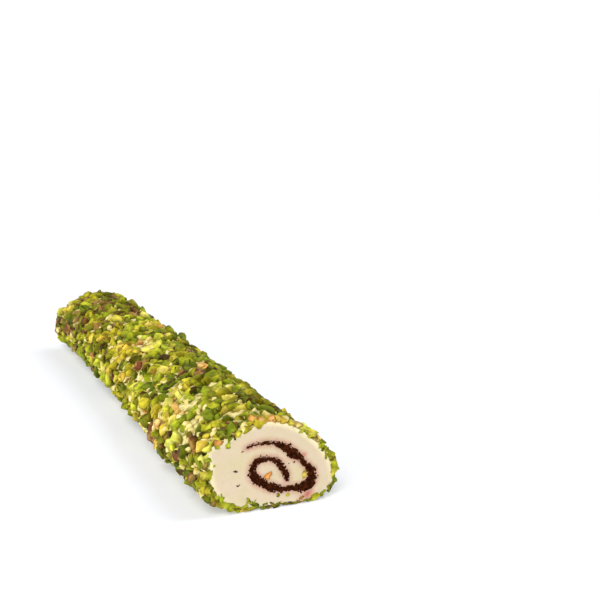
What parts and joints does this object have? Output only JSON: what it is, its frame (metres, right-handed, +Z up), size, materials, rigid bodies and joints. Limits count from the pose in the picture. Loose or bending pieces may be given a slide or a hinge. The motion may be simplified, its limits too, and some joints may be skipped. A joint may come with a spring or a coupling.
{
  "type": "turkish delight roll",
  "caption": "Long roll of Turkish delight: pale nougat round a dark spiral filling, coated in chopped pistachio, lying on its flattened underside.",
  "frame": {"origin": "on the surface that the roll lies on, under the middle of its bounding box", "axes": "+Y along the roll, from the wider clean cut end at -Y to the far cut end at +Y; +Z up, out of the crown"},
  "size_m": [0.0465, 0.2, 0.029],
  "materials": {
    "pistachio": "chopped raw pistachio, lime to deep green with scraps of brown and violet skin, dull with a faint oily sheen",
    "nougat": "whipped cream-white nougat, soft, fine-pored and slightly translucent",
    "cocoa": "dark crumbly cocoa filling, dull red-brown to black"
  },
  "bodies": {
    "root": {"pistachio_nougat": "pistachio", "cocoa_swirl": "cocoa"}
  },
  "joints": []
}
